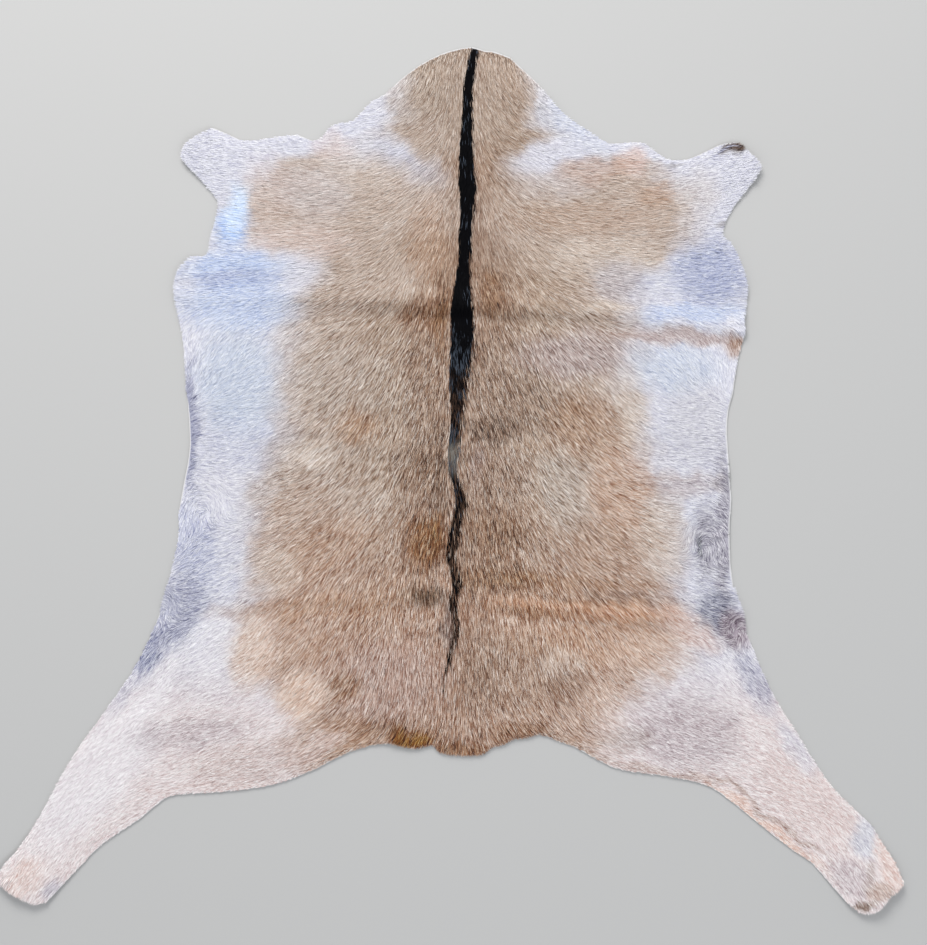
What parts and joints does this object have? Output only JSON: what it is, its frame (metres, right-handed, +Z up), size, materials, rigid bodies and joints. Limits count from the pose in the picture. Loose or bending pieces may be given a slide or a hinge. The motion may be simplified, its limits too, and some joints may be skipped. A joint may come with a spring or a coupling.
{
  "type": "goatskin rug",
  "caption": "Hair-on goatskin laid out flat with its hair up: a tan coat with pale flanks and legs, a black stripe along the back, low packing creases and curled-up feet.",
  "frame": {"origin": "on the floor, under the middle of the skin's bounding box", "axes": "+Z up, out of the hair side; +Y towards the neck; +X towards the right flank as seen from above with the neck at the top"},
  "size_m": [1.0114, 0.968, 0.0111],
  "materials": {
    "coat": "short lying hair, satin, on dressed skin",
    "stripe": "longer black hair along the back, with a soft sheen",
    "skin": "dressed flesh side and cut edge, matt suede"
  },
  "bodies": {
    "root": {"goatskin_hide": "coat"}
  },
  "joints": []
}
